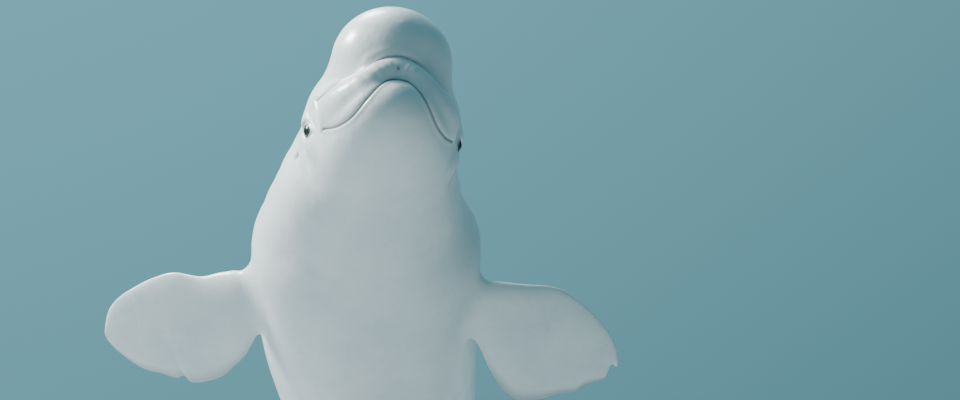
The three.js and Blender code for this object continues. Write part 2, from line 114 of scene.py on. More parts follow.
# The line of the mouth and the crease over the upper lip, front to corner
MOUTH = np.array([
    (0.052, 0.000, 0.037), (0.051, 0.020, 0.033), (0.052, 0.036, 0.020), (0.054, 0.050, 0.004),
    (0.062, 0.066, -0.015), (0.074, 0.078, -0.027), (0.090, 0.090, -0.038), (0.112, 0.104, -0.046),
    (0.134, 0.117, -0.047), (0.170, 0.138, -0.040), (0.212, 0.162, -0.020),
])
CREASE = np.array([
    (0.043, 0.000, 0.098), (0.045, 0.028, 0.096), (0.053, 0.050, 0.092), (0.064, 0.066, 0.085),
    (0.070, 0.080, 0.074), (0.080, 0.093, 0.063), (0.090, 0.108, 0.052), (0.121, 0.135, 0.056),
    (0.168, 0.150, 0.077), (0.200, 0.166, 0.077), (0.225, 0.181, 0.071),
])
LINE_MIDDLE = np.array([0.250, 0, -0.010])
HEAD_MIDDLE = (0.400, 0.036)
COLUMNS = 200
FAN_RINGS = 100
BODY_RINGS = 150


def smooth_table(xs, ys, x):
    """A monotone cubic through the rows, so that it never overshoots them."""
    gaps = np.diff(xs)
    slopes = np.diff(ys) / gaps
    tangents = np.zeros(len(xs))
    tangents[0], tangents[-1] = slopes[0], slopes[-1]
    for i in range(1, len(xs) - 1):
        if slopes[i - 1] * slopes[i] > 0:
            before, after = 2 * gaps[i] + gaps[i - 1], gaps[i] + 2 * gaps[i - 1]
            tangents[i] = (before + after) / (before / slopes[i - 1] + after / slopes[i])
    x = np.asarray(x, float)
    i = np.clip(np.searchsorted(xs, x) - 1, 0, len(xs) - 2)
    t = np.clip((x - xs[i]) / gaps[i], 0, 1)
    u = 1 - t
    return (ys[i] * (1 + 2 * t) * u * u + gaps[i] * tangents[i] * t * u * u
            + ys[i + 1] * t * t * (3 - 2 * t) - gaps[i] * tangents[i + 1] * t * t * u)


def smooth_step(low, high, x):
    t = np.clip((x - low) / (high - low), 0, 1)
    return t * t * (3 - 2 * t)


def bump(x, width):
    """1 on a line and fading to 0 about two widths to each side."""
    return np.exp(-(x / width) ** 2)


SPINE_STEP = 0.01
spine_s = np.arange(0, SPINE[-1, 0] + SPINE_STEP / 2, SPINE_STEP)
spine_slope = np.radians(smooth_table(SPINE[:, 0], SPINE[:, 1], spine_s))
spine_turn = np.radians(smooth_table(SPINE[:, 0], SPINE[:, 2], spine_s))
spine_along = np.stack([
    np.sin(spine_turn),
    np.cos(spine_turn) * np.sin(spine_slope),
    -np.cos(spine_turn) * np.cos(spine_slope),
], 1)
spine_left = np.stack([
    np.cos(spine_turn),
    -np.sin(spine_turn) * np.sin(spine_slope),
    np.sin(spine_turn) * np.cos(spine_slope),
], 1)
spine_up = np.stack([0 * spine_slope, np.cos(spine_slope), np.sin(spine_slope)], 1)
steps = (spine_along[1:] + spine_along[:-1]) / 2 * SPINE_STEP
spine_points = np.concatenate([[[0, 0, 0]], np.cumsum(steps, 0)])
TURNED = Euler((0, 0, YAW)).to_matrix().to_4x4()
LEANT = Euler((0, LEAN, 0)).to_matrix().to_4x4()
STANDING = Matrix.Translation(SNOUT) @ TURNED @ LEANT
STANDING_TURN = np.array(STANDING.to_3x3())


def along_spine(s, values):
    return np.stack([np.interp(s, spine_s, values[:, k]) for k in range(3)], -1)


def place(points):
    """From the straight whale to the row frame."""
    s, w, h = points[..., 0], points[..., 1], points[..., 2]
    bent = (along_spine(s, spine_points) + w[..., None] * along_spine(s, spine_left)
            + h[..., None] * along_spine(s, spine_up) + np.minimum(s, 0)[..., None] * spine_along[0])
    return bent @ STANDING_TURN.T + np.array(SNOUT)


def straighten(points):
    """From the row frame back to the straight whale."""
    local = (points - np.array(SNOUT)) @ STANDING_TURN
    middle = np.array([((local - p) ** 2).sum(-1) for p in spine_points[::10]])
    s = spine_s[::10][middle.argmin(0)]
    for _ in range(6):
        away = local - along_spine(s, spine_points)
        s = np.clip(s + (away * along_spine(s, spine_along)).sum(-1), -0.2, SPINE[-1, 0])
    away = local - along_spine(s, spine_points)
    to_left = (away * along_spine(s, spine_left)).sum(-1)
    up_back = (away * along_spine(s, spine_up)).sum(-1)
    return np.stack([s, to_left, up_back], -1)


def spline(points, count, even=False):
    """A centripetal curve through the points, at even steps of its length where asked."""
    points = np.asarray(points, float)
    ends = np.concatenate([[2 * points[0] - points[1]], points, [2 * points[-1] - points[-2]]])
    spans = len(points) - 1
    u = np.linspace(0, spans, 40 * spans + 1 if even else count)
    i = np.minimum(u.astype(int), spans - 1)
    t = (u - i)[:, None]
    a, b, c, d = ends[i], ends[i + 1], ends[i + 2], ends[i + 3]
    pairs = ((a, b), (b, c), (c, d))
    before, here, after = (np.sqrt(np.linalg.norm(q - p, axis=1))[:, None] for p, q in pairs)
    start = ((b - a) / before - (c - a) / (before + here) + (c - b) / here) * here
    stop = ((c - b) / here - (d - b) / (here + after) + (d - c) / after) * here
    curve = (b * (1 + 2 * t) * (1 - t) ** 2 + start * t * (1 - t) ** 2
             + c * t * t * (3 - 2 * t) + stop * t * t * (t - 1))
    if not even:
        return curve
    length = np.concatenate([[0], np.cumsum(np.linalg.norm(np.diff(curve, axis=0), axis=1))])
    wanted = np.asarray(count) * length[-1]
    return np.stack([np.interp(wanted, length, curve[:, k]) for k in range(curve.shape[1])], -1)


def melt(a, b, width):
    t = np.clip(0.5 + 0.5 * (b - a) / width, 0, 1)
    return b * (1 - t) + a * t - width * t * (1 - t)


def ellipsoid(points, centre, radii):
    d = (points - np.array(centre)) / np.array(radii)
    near = np.sqrt((d ** 2).sum(-1)) + 1e-9
    far = np.sqrt(((d / np.array(radii)) ** 2).sum(-1)) + 1e-9
    return near * (near - 1) / far


def tube_distance(points, line, radii):
    """Distance from a tube along a broken line, or from the line itself where the radii are 0."""
    best = np.full(points.shape[:-1], 9.0)
    for a, b, ra, rb in zip(line[:-1], line[1:], radii[:-1], radii[1:]):
        side = b - a
        t = np.clip(((points - a) @ side) / (side @ side), 0, 1)
        away = np.linalg.norm(points - a - t[..., None] * side, axis=-1)
        best = np.minimum(best, away - (ra + (rb - ra) * t))
    return best


LIP_STEPS = 16
lip_line = spline(LIP[:, :3], LIP_STEPS + 1)
lip_radii = np.interp(np.linspace(0, len(LIP) - 1, LIP_STEPS + 1), np.arange(len(LIP)), LIP[:, 3])


def body_field(points):
    """Negative inside the straight whale."""
    points = points.copy()
    points[..., 1] = np.abs(points[..., 1])
    s, w, h = points[..., 0], points[..., 1], points[..., 2]
    station = np.clip(s, TRUNK[0, 0], TRUNK[-1, 0])
    width = smooth_table(TRUNK[:, 0], TRUNK[:, 1], station)
    above = smooth_table(TRUNK[:, 0], TRUNK[:, 2], station)
    below = smooth_table(TRUNK[:, 0], TRUNK[:, 3], station)
    height = np.where(h > 0, above, below)
    ratio = ((w / width) ** SQUARENESS + (np.abs(h) / height) ** SQUARENESS) ** (1 / SQUARENESS)
    field = (ratio - 1) * np.minimum(width, height)
    ahead = TRUNK[0, 0] - s
    field = np.where(ahead > 0, np.hypot(np.maximum(field, 0), ahead), field)
    near = s < 0.9
    if near.any():
        head = points[near]
        part = field[near]
        for centre, radii, softness in (CRANIUM, JAW, CHIN, MELON):
            part = melt(part, ellipsoid(head, centre, radii), softness)
        field[near] = melt(part, tube_distance(head, lip_line, lip_radii), LIP_BLEND)
    return field


def reach(start, direction, far=0.7):
    """How far each ray goes before it leaves the body."""
    inside = np.zeros(start.shape[:-1])
    outside = np.full(start.shape[:-1], far)
    for _ in range(22):
        middle = (inside + outside) / 2
        within = body_field(start + direction * middle[..., None]) < 0
        inside = np.where(within, middle, inside)
        outside = np.where(within, outside, middle)
    return inside


def body_grid():
    """Rings of points round the straight body: a fan over the head, then steps along the trunk."""
    fan = np.arange(1, FAN_RINGS + 1) / FAN_RINGS * math.pi / 2
    part = np.arange(1, BODY_RINGS + 1) / BODY_RINGS
    trunk_s = HEAD_MIDDLE[0] + (TRUNK_END - HEAD_MIDDLE[0]) * part
    s = np.concatenate([np.full(FAN_RINGS, HEAD_MIDDLE[0]), trunk_s])
    tilt = np.concatenate([fan, np.full(BODY_RINGS, math.pi / 2)])[:, None]
    middle = smooth_table(np.array([HEAD_MIDDLE[0], 0.85, TRUNK_END]), np.array([HEAD_MIDDLE[1], 0, 0]), s)
    turn = np.arange(COLUMNS) / COLUMNS * 2 * math.pi
    start = np.stack([s, 0 * s, middle], -1)[:, None, :] + np.zeros((1, COLUMNS, 1))
    direction = np.stack([
        -np.cos(tilt) + 0 * turn,
        np.sin(tilt) * np.cos(turn),
        np.sin(tilt) * np.sin(turn),
    ], -1)
    return start + direction * reach(start, direction)[..., None]


def loft(rings, first, last):
    """Vertices and faces of a closed skin over rings of points, with a pole at each end."""
    count = rings.shape[1]
    vertices = np.concatenate([[first], rings.reshape(-1, 3), [last]])
    j = np.arange(count)
    following = (j + 1) % count
    faces = [(0, 1 + b, 1 + a) for a, b in zip(j, following)]
    for i in range(len(rings) - 1):
        low = 1 + i * count
        high = low + count
        faces += [(low + a, low + b, high + b, high + a) for a, b in zip(j, following)]
    top = 1 + (len(rings) - 1) * count
    faces += [(top + a, top + b, len(vertices) - 1) for a, b in zip(j, following)]
    return vertices, faces


def mesh_object(name, vertices, faces):
    mesh = bpy.data.meshes.new(name)
    mesh.from_pydata([tuple(v) for v in vertices], [], faces)
    shape = bmesh.new()
    shape.from_mesh(mesh)
    bmesh.ops.recalc_face_normals(shape, faces=shape.faces)
    shape.to_mesh(mesh)
    shape.free()
    made = bpy.data.objects.new(name, mesh)
    bpy.context.scene.collection.objects.link(made)
    return made


pole = HEAD_MIDDLE[0] - reach(np.array([[HEAD_MIDDLE[0], 0, HEAD_MIDDLE[1]]]), np.array([[-1.0, 0, 0]]))[0]
rings = body_grid()
vertices, faces = loft(rings, (pole, 0, HEAD_MIDDLE[1]), (TRUNK[-1, 0], 0, 0))
skin = mesh_object("whale_skin", vertices, faces)

# Eyes
# Small dark balls low on the sides of the head, each in a short oval of thick dark-edged lids.
# The ball is sunk so that the lids close over its edge.
EYE_S, EYE_H = 0.300, 0.028
EYE_RADIUS, EYE_DEPTH = 0.020, 0.0135
LID_LONG, LID_HIGH, LID_TILT = 0.0190, 0.0130, math.radians(-35)


def eye_frame(side):
    """The straight whale's eye: the skin's point, the outward direction, and along and across the slit."""
    def out(s, h):
        return reach(np.array([[s, 0, h]]), np.array([[0.0, side, 0.0]]))[0]
    step = 0.004
    back = (out(EYE_S + step, EYE_H) - out(EYE_S - step, EYE_H)) / (2 * step)
    rise = (out(EYE_S, EYE_H + step) - out(EYE_S, EYE_H - step)) / (2 * step)
    normal = Vector((-back, side, -rise)).normalized()
    point = Vector((EYE_S, side * out(EYE_S, EYE_H), EYE_H))
    long = Vector((1, 0, 0)) - normal * normal.x
    long.normalize()
    long.rotate(Matrix.Rotation(side * LID_TILT, 3, normal))
    return point, normal, long, normal.cross(long)


eye_frames = {side: eye_frame(side) for side in (-1, 1)}


def refine(obj, near, rounds=1):
    """Splits the faces whose middle the test picks, to a finer mesh."""
    for _ in range(rounds):
        shape = bmesh.new()
        shape.from_mesh(obj.data)
        centres = np.array([f.calc_center_median() for f in shape.faces])
        chosen = near(centres)
        shape.faces.ensure_lookup_table()
        edges = {e for f, pick in zip(shape.faces, chosen) if pick for e in f.edges}
        bmesh.ops.subdivide_edges(shape, edges=list(edges), cuts=1, use_grid_fill=True)
        bmesh.ops.triangulate(shape, faces=[f for f in shape.faces if len(f.verts) > 4])
        shape.to_mesh(obj.data)
        shape.free()


def line_on_skin(rows):
    """A line drawn on the skin from one side round the front to the other."""
    rows = spline(rows, 120)
    out = rows - LINE_MIDDLE
    out /= np.linalg.norm(out, axis=1)[:, None]
    side = LINE_MIDDLE + out * reach(LINE_MIDDLE + 0 * out, out)[:, None]
    return np.concatenate([side[:0:-1] * np.array([1, -1, 1]), side])


mouth_line = line_on_skin(MOUTH)
crease_line = line_on_skin(CREASE)
# The fold that closes the lip behind the corner of the mouth: s, w and h, top to bottom
cheek_line = np.array([
    (0.232, 0.185, 0.078), (0.226, 0.181, 0.057), (0.222, 0.177, 0.013), (0.232, 0.172, -0.024),
])
eye_points = np.array([eye_frames[side][0] for side in (-1, 1)])


def near_points(points, targets, distance):
    return (np.linalg.norm(points[:, None] - targets[None], axis=-1) < distance).any(1)


lip_lines = np.concatenate([mouth_line[::3], crease_line[::3]])
for distance in (0.016, 0.006):
    refine(skin, lambda c: (c[:, 0] < 0.26) & near_points(c, lip_lines, distance))
for distance in (0.050, 0.034, 0.024):
    refine(skin, lambda c: near_points(c, eye_points, distance))


def coordinates(obj):
    flat = np.zeros(len(obj.data.vertices) * 3)
    obj.data.vertices.foreach_get("co", flat)
    return flat.reshape(-1, 3)


def set_coordinates(obj, points):
    obj.data.vertices.foreach_set("co", np.ascontiguousarray(points, dtype=np.float32).ravel())
    obj.data.update()


def normals(obj):
    flat = np.zeros(len(obj.data.vertices) * 3)
    obj.data.vertices.foreach_get("normal", flat)
    return flat.reshape(-1, 3)


# The fine surface: every point is drawn onto the true shape, then folds and creases are pressed in
straight = coordinates(skin)
normal = normals(skin)
on_body = (straight[:, 0] > -0.1) & (straight[:, 0] < TRUNK_END - 0.01)
for _ in range(3):
    straight[on_body] -= normal[on_body] * body_field(straight[on_body])[:, None] * 0.9


def directions(points):
    """Round the head and up it, as seen from the middle of the mouth, in radians."""
    s, w, h = (points - LINE_MIDDLE).T
    return np.arctan2(np.abs(w), -s), np.arctan2(h, np.hypot(s, w))


def lip_part(points):
    """Where each point lies across the upper lip: 0 on the line of the mouth and 1 on the crease."""
    turn, rise = directions(points)
    low, high = (np.interp(turn, *directions(line[len(line) // 2:])) for line in (mouth_line, crease_line))
    end_turn, end_rise = directions(cheek_line)
    behind = turn - np.interp(-rise, -end_rise, end_turn)
    return (rise - low) / (high - low), behind


def line_distance(points, line):
    """Distance from a line on the left side, or from its mirror image on the right."""
    s, w, h = points.T
    return tube_distance(np.stack([s, np.abs(w), h], -1), line, np.zeros(len(line)))


def window(x, low, high, soft):
    return smooth_step(low - soft, low + soft, x) * smooth_step(high + soft, high - soft, x)


# Small features: where they lie along the body, and how long they are
EAR = (0.399, 0.015)
NAVEL_S = 1.98
SLIT_START, SLIT_END = 2.26, 2.42
RIDGE_START, RIDGE_LENGTH, RIDGE_HEIGHT = 1.88, 0.76, 0.022
NECK_FOLDS, NECK_FOLD_START, NECK_FOLD_STEP = 4, 0.470, 0.062
NECK_ROLL, NECK_ROLL_RISE = (0.41, 0.69), 0.0128
BLOWHOLE_S, BLOWHOLE_RADIUS, BLOWHOLE_HALF = 0.372, 0.030, math.radians(62)
half_mouth = mouth_line[len(mouth_line) // 2:]
half_crease = crease_line[len(crease_line) // 2:]


def blowhole_distance(points):
    """Distance along the skin from the crescent of the blowhole, on top of the head."""
    s, w, h = points.T
    centre = BLOWHOLE_S - BLOWHOLE_RADIUS
    turn = np.clip(np.arctan2(w, s - centre), -BLOWHOLE_HALF, BLOWHOLE_HALF)
    away = np.hypot(s - centre - BLOWHOLE_RADIUS * np.cos(turn), w - BLOWHOLE_RADIUS * np.sin(turn))
    return np.where(h > 0.1, away, 9.0)


def folds(points):
    """How far the skin stands out of, or sinks below, the smooth body."""
    s, w, h = points.T
    rise = np.zeros(len(points))
    head = s < 0.30
    front = points[head]
    mouth, crease, cheek = (line_distance(front, line) for line in (half_mouth, half_crease, cheek_line))
    part, behind = lip_part(front)
    # the upper lip is a full roll between the line of the mouth, the crease above it and the cheek
    on_lip = (part > 0) & (part < 1) & (behind < 0)
    edge = np.minimum(np.minimum(mouth, crease), cheek)
    rise[head] += np.where(on_lip, 0.0100 * (1 - np.exp(-edge / 0.012)), 0)
    rise[head] -= 0.0042 * bump(mouth, 0.0019) + 0.0038 * bump(crease, 0.0032) * (behind < 0.1)
    rise[head] += 0.0016 * bump(mouth - 0.008, 0.005) * (part < 0) * (behind < 0)
    rise[head] += 0.0022 * bump(crease - 0.016, 0.010) * (part > 1) * (behind < 0)
    rise[head] -= 0.0034 * bump(cheek, 0.0045)
    # the swelling round each eye, which stands clear of the neck behind it
    level = window(h, -0.045, 0.080, 0.030)
    behind_eye = 0.342 + 0.12 * np.abs(h - 0.03)
    rise += level * (0.0080 * bump(s - 0.308, 0.022) - 0.0050 * bump(s - 0.262, 0.014))
    rise -= 0.0070 * level * bump(s - behind_eye, 0.008)
    # a roll of fat on the right side of the neck, where the head is turned that way
    rise += np.where(w < 0, NECK_ROLL_RISE * window(s, *NECK_ROLL, 0.045) * window(h, -0.12, 0.14, 0.06), 0)
    # two thin folds between the cheek and the eye
    for start, depth in ((0.247, 0.0016), (0.276, 0.0014)):
        along = start + 0.10 * (h - 0.05) + 0.6 * (h - 0.04) ** 2
        rise -= depth * bump(s - along, 0.0028) * window(h, 0.015, 0.085, 0.014)
    around = np.arctan2(h, np.abs(w))
    # loose folds of the neck, shallow and uneven, deepest on the throat and the sides
    throat = smooth_step(0.9, -0.5, around)
    for k in range(NECK_FOLDS):
        middle = NECK_FOLD_START + NECK_FOLD_STEP * k + 0.004 * math.sin(5.1 * k)
        middle = middle + 0.040 * np.sin(around * (1.1 + 0.2 * k) + 1.7 * k)
        depth = 0.0028 * (0.5 + 0.5 * np.sin(2.3 * around + 2.1 * k + 1.3 * np.sign(w)))
        rise += throat * depth * (0.5 * bump(s - middle - 0.024, 0.016) - bump(s - middle, 0.012))
    # long low rolls of fat down each side of the belly
    belly = smooth_step(1.1, 1.5, s) * smooth_step(2.9, 2.3, s)
    rise += 0.007 * belly * (bump(around + 0.95, 0.16) - 0.8 * bump(around + 0.70, 0.10))
    # the low broken ridge down the back
    t = np.clip((s - RIDGE_START) / RIDGE_LENGTH, 0, 1)
    ridge = RIDGE_HEIGHT * np.sin(math.pi * t) ** 0.7 * (0.78 + 0.22 * np.cos(18 * math.pi * t))
    rise += np.where(h > 0, ridge * bump(w, 0.022), 0)
    # ear pits, blowhole, navel and genital slit
    rise -= np.where(np.abs(w) > 0.1, 0.0035 * bump(np.hypot(s - EAR[0], h - EAR[1]), 0.0060), 0)
    hole = blowhole_distance(points)
    rise += 0.0030 * bump(hole - 0.010, 0.009) - 0.0070 * bump(hole, 0.0045)
    rise += np.where(h < 0, slit_depth(s, w), 0)
    # unevenness of the flesh
    rise += 0.0016 * np.sin(9 * s + 2 * around) * np.sin(13 * s + 4 * w / 0.3) * smooth_step(0.5, 0.9, s)
    return rise


def slit_depth(s, w):
    """The navel and the genital slit, in the middle of the belly."""
    return (-0.0040 * bump(np.hypot(s - NAVEL_S, w), 0.010)
            - 0.0050 * bump(w, 0.005) * window(s, SLIT_START, SLIT_END, 0.02)
            + 0.0030 * bump(np.abs(w) - 0.016, 0.010) * window(s, SLIT_START, SLIT_END, 0.03))


rise = folds(straight)


def eye_ratio(points, side):
    """Distance from the middle of an eye as a share of its opening, with the offsets along its axes."""
    point, out, long, high = eye_frames[side]
    away = points - np.array(point)
    p, q, r = away @ np.array(long), away @ np.array(high), away @ np.array(out)
    across = np.where(q > 0, LID_HIGH, LID_HIGH * 0.92) * np.clip(1 - 0.16 * (p / LID_LONG) ** 2, 0.4, 1)
    rho = np.hypot(p / LID_LONG, q / across)
    return np.where(np.abs(r) < 0.04, rho, 9.0), p, q


for side in (-1, 1):
    rho, p, q = eye_ratio(straight, side)
    close = rho < 4
    ball = np.sqrt(np.maximum(EYE_RADIUS ** 2 - p * p - q * q, 0)) - EYE_DEPTH
    edge = np.clip(ball, -0.002, 0.006) + 0.0012
    lid = edge * smooth_step(2.5, 1.0, rho) + 0.0016 * bump(rho - 1.3, 0.22) - 0.0020 * bump(rho - 1.95, 0.20)
    inside = -0.012 * smooth_step(1.0, 0.84, rho)
    rise[close] = np.where(rho < 1, edge + inside, rise * smooth_step(1.5, 3.2, rho) + lid)[close]
set_coordinates(skin, straight)
normal = normals(skin)
straight = straight + normal * rise[:, None]
set_coordinates(skin, place(straight))

# Flippers
# Broad paddles, thick at the root and thin at the rounded tip, the tips curling back.
# Each outline runs out from the body and down it, front edge and back edge, root to tip.
FLIPPER_S, FLIPPER_BELOW = 0.950, math.radians(20)
FLIPPER_TILT, FLIPPER_SWEEP, FLIPPER_CURL = math.radians(22), math.radians(8), 0.034
FLIPPER_THICK = (0.040, 0.006, 1.5)
FLIPPERS = {
    -1: (
        [(-0.080, -0.080), (0, -0.108), (0.104, -0.097), (0.169, -0.082), (0.258, -0.093), (0.335, -0.070),
         (0.424, -0.023), (0.472, 0.010), (0.512, 0.053), (0.534, 0.099), (0.547, 0.143)],
        [(-0.080, 0.076), (0, 0.097), (0.067, 0.189), (0.110, 0.232), (0.154, 0.269), (0.224, 0.295),
         (0.268, 0.299), (0.277, 0.294), (0.283, 0.279), (0.296, 0.275), (0.312, 0.287), (0.369, 0.273),
         (0.418, 0.265), (0.461, 0.245), (0.502, 0.214), (0.524, 0.192), (0.540, 0.170), (0.547, 0.143)],
    ),
    1: (
        [(-0.080, -0.078), (0, -0.080), (0.170, -0.059), (0.236, -0.052), (0.291, -0.032), (0.322, -0.009),
         (0.367, 0.031), (0.409, 0.073), (0.441, 0.111), (0.472, 0.159), (0.491, 0.203), (0.501, 0.257)],
        [(-0.080, 0.076), (0, 0.120), (0.067, 0.249), (0.109, 0.318), (0.156, 0.361), (0.240, 0.366),
         (0.298, 0.351), (0.336, 0.349), (0.360, 0.347), (0.388, 0.325), (0.420, 0.317), (0.459, 0.308),
         (0.466, 0.284), (0.474, 0.258), (0.484, 0.256), (0.496, 0.268), (0.501, 0.257)],
    ),
}


def blade(front, back, thick, stations, around):
    """Rings of points (out, down, thickness) for a flat tapered blade between two edges."""
    t = np.sin(np.arange(stations) / stations * math.pi / 2) ** 0.9
    a, b = spline(front, t, even=True), spline(back, t, even=True)
    chord = np.linalg.norm(b - a, axis=1)
    half = np.minimum(thick[1] + (thick[0] - thick[1]) * (1 - t) ** thick[2], chord * 0.35)
    turn = (np.arange(around) + 0.5) / around * 2 * math.pi
    across = (1 - np.cos(turn)) / 2
    flat = a[:, None] + (b - a)[:, None] * across[None, :, None]
    bulge = half[:, None] * np.sin(turn) * (1 + 0.35 * np.cos(turn))
    points = np.concatenate([flat, bulge[..., None]], -1)
    root = np.append((np.array(front[0]) + np.array(back[0])) / 2, 0)
    # the back edge and the tip are marked for grey: partly the fin's own tone, partly painted shade
    rim = smooth_step(0.88, 1.0, across)[None] * smooth_step(0.1, 0.4, t)[:, None]
    rim = np.concatenate([[0], rim.ravel(), [1]])
    return points, root, np.append(front[-1], 0), rim


def flipper(side):
    turn = -FLIPPER_BELOW if side > 0 else math.pi + FLIPPER_BELOW
    ray = np.array([[0, math.cos(turn), math.sin(turn)]])
    length = reach(np.array([[FLIPPER_S, 0.0, 0.0]]), ray)[0]
    root = place(np.array([FLIPPER_S, 0, 0]) + ray[0] * length)
    out = Vector((side * math.cos(FLIPPER_SWEEP), math.sin(FLIPPER_SWEEP), 0))
    down = Vector((0, math.sin(FLIPPER_TILT), -math.cos(FLIPPER_TILT)))
    down = (down - out * down.dot(out)).normalized()
    back = down.cross(out) * -side
    front_edge, back_edge = FLIPPERS[side]
    rings, first, last, rim = blade(front_edge, back_edge, FLIPPER_THICK, 76, 52)
    span = front_edge[-1][0]

    def stand(p):
        x, y, z = p[..., 0], p[..., 1], p[..., 2]
        curl = FLIPPER_CURL * np.maximum(x / span, 0) ** 2.5
        # faint ridges of the finger bones
        fingers = 0.0011 * np.sign(z) * np.cos(y / 0.023 + 2.2 * x / span) * smooth_step(0.05, 0.2, x)
        z = z + fingers * smooth_step(0.0, 0.006, np.abs(z)) * smooth_step(1.0, 0.7, x / span)
        return (root + x[..., None] * np.array(out) + y[..., None] * np.array(down)
                + (z + curl)[..., None] * np.array(back))
    verts, polys = loft(stand(rings), stand(first), stand(last))
    return mesh_object(f"flipper_{side}", verts, polys), rim


# Flukes
# The tail fin: two thin lobes across the tail with a notch between them, their back edges bowed out.
FLUKE_FRONT = [(0, 3.400), (0.060, 3.440), (0.190, 3.500), (0.330, 3.590), (0.430, 3.670), (0.478, 3.752)]
FLUKE_BACK = [
    (0, 3.700), (0.030, 3.722), (0.100, 3.786), (0.220, 3.822),
    (0.350, 3.812), (0.440, 3.782), (0.478, 3.752),
]
FLUKE_THICK = (0.030, 0.005, 1.3)
FLUKE_DROOP = 0.026
FLUKE_LAP = 0.004


def fluke(side):
    rings, first, last, rim = blade(FLUKE_FRONT, FLUKE_BACK, FLUKE_THICK, 56, 40)

    def stand(p):
        out, s, thickness = p[..., 0], p[..., 1], p[..., 2]
        droop = FLUKE_DROOP * (out / FLUKE_FRONT[-1][0]) ** 2
        return place(np.stack([s, side * (out - FLUKE_LAP), thickness - droop], -1))
    verts, polys = loft(stand(rings), stand(first), stand(last))
    return mesh_object(f"fluke_{side}", verts, polys), rim


fins, rims = zip(flipper(-1), flipper(1), fluke(-1), fluke(1))

# The fins grow out of the body: they are joined to the skin, and the joint is smoothed to a soft fillet
JOINT_RADIUS = 0.055
SMOOTHING_ROUNDS = 60
known = np.concatenate([coordinates(skin)] + [coordinates(fin) for fin in fins])
known_rim = np.concatenate([np.zeros(len(skin.data.vertices)), *rims])
for fin in fins:
    joining = skin.modifiers.new("join", "BOOLEAN")
    joining.operation = "UNION"
    joining.solver = "EXACT"
    joining.object = fin
    joined = bpy.data.meshes.new_from_object(skin.evaluated_get(bpy.context.evaluated_depsgraph_get()))
    skin.modifiers.clear()
    skin.data = joined
for fin in fins:
    bpy.data.objects.remove(fin)

known_tree = kdtree.KDTree(len(known))
for i, point in enumerate(known):
    known_tree.insert(point, i)
known_tree.balance()
points = coordinates(skin)
found = [known_tree.find(p) for p in points]
fin_rim = known_rim[[index for _, index, _ in found]]
seam = np.array([distance > 1e-5 for _, _, distance in found])
seam_tree = kdtree.KDTree(int(seam.sum()))
for i, point in enumerate(points[seam]):
    seam_tree.insert(point, i)
seam_tree.balance()
from_seam = np.array([seam_tree.find(p)[2] for p in points])
soft = np.clip(1 - from_seam / JOINT_RADIUS, 0, 1)
moving = soft > 0
edges = np.zeros(len(skin.data.edges) * 2, int)
skin.data.edges.foreach_get("vertices", edges)
edges = edges.reshape(-1, 2)
edges = edges[moving[edges].any(1)]
for _ in range(SMOOTHING_ROUNDS):
    total = np.zeros_like(points)
    count = np.zeros(len(points))
    np.add.at(total, edges[:, 0], points[edges[:, 1]])
    np.add.at(total, edges[:, 1], points[edges[:, 0]])
    np.add.at(count, edges[:, 0], 1)
    np.add.at(count, edges[:, 1], 1)
    mean = total[moving] / count[moving, None]
    points[moving] += (mean - points[moving]) * (0.6 * soft[moving, None])
set_coordinates(skin, points)
skin.data.shade_smooth()

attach(skin, "root")
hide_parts("head", "lower_jaw", "neck", "chest", "abdomen", "tail_stock",
            "flipper_left", "flipper_right", "fluke_left", "fluke_right")


def write_attribute(mesh, name, values):
    made = mesh.attributes.new(name, "FLOAT", "POINT")
    made.data.foreach_set("value", np.ascontiguousarray(values, dtype=np.float32))


# Where the hide is darkened: painted shade in the line of the mouth, the crease over the lip, the cheek fold,
# round the eyes, in the ear pits, blowhole, navel and slit; the edges of the lids and the spots are the
# hide's own dark colour
straight = straighten(points)
s, w, h = straight.T
dark_marks_and_painted_shade = np.zeros(len(points))
painted_shade_and_fin_grey = np.zeros(len(points))
head = s < 0.30
front = straight[head]
mouth, crease, cheek = (line_distance(front, line) for line in (half_mouth, half_crease, cheek_line))
part, behind = lip_part(front)
# painted shade: the line of the mouth drawn near black, as the gap between the lips lies in shade
dark_marks_and_painted_shade[head] = bump(mouth, 0.0026) * smooth_step(0.03, -0.02, behind)
# painted shade: grey along the crease over the upper lip and down the cheek fold
painted_shade_and_fin_grey[head] = 0.35 * bump(crease, 0.0045) * smooth_step(0.10, -0.05, behind) + 0.30 * bump(cheek, 0.005)
for side in (-1, 1):
    rho, _, _ = eye_ratio(straight, side)
    dark_marks_and_painted_shade = np.maximum(dark_marks_and_painted_shade, 0.95 * smooth_step(1.48, 1.20, rho))
    # painted shade: a grey band over the lids and the groove round them
    painted_shade_and_fin_grey = np.maximum(painted_shade_and_fin_grey, 0.60 * smooth_step(2.3, 1.5, rho))
# painted shade: each ear pit drawn near black
for side in (-1, 1):
    dark_marks_and_painted_shade = np.maximum(dark_marks_and_painted_shade, 0.95 * bump(np.hypot(s - EAR[0], h - EAR[1]), 0.0065) * (w * side > 0.1))
# Small spots on the upper lip and chin: w, h, radius and strength
SPOTS = (
    (-0.003, 0.062, 0.0042, 0.9), (0.008, 0.005, 0.0060, 0.35),
    (-0.050, 0.074, 0.0030, 0.4), (0.046, 0.060, 0.0022, 0.3),
)
for across, up, radius, strength in SPOTS:
    dark_marks_and_painted_shade = np.maximum(dark_marks_and_painted_shade, strength * bump(np.hypot(w - across, h - up), radius) * (s < 0.1))
# painted shade: the crescent of the blowhole drawn dark
dark_marks_and_painted_shade = np.maximum(dark_marks_and_painted_shade, 0.8 * bump(blowhole_distance(straight), 0.0045))
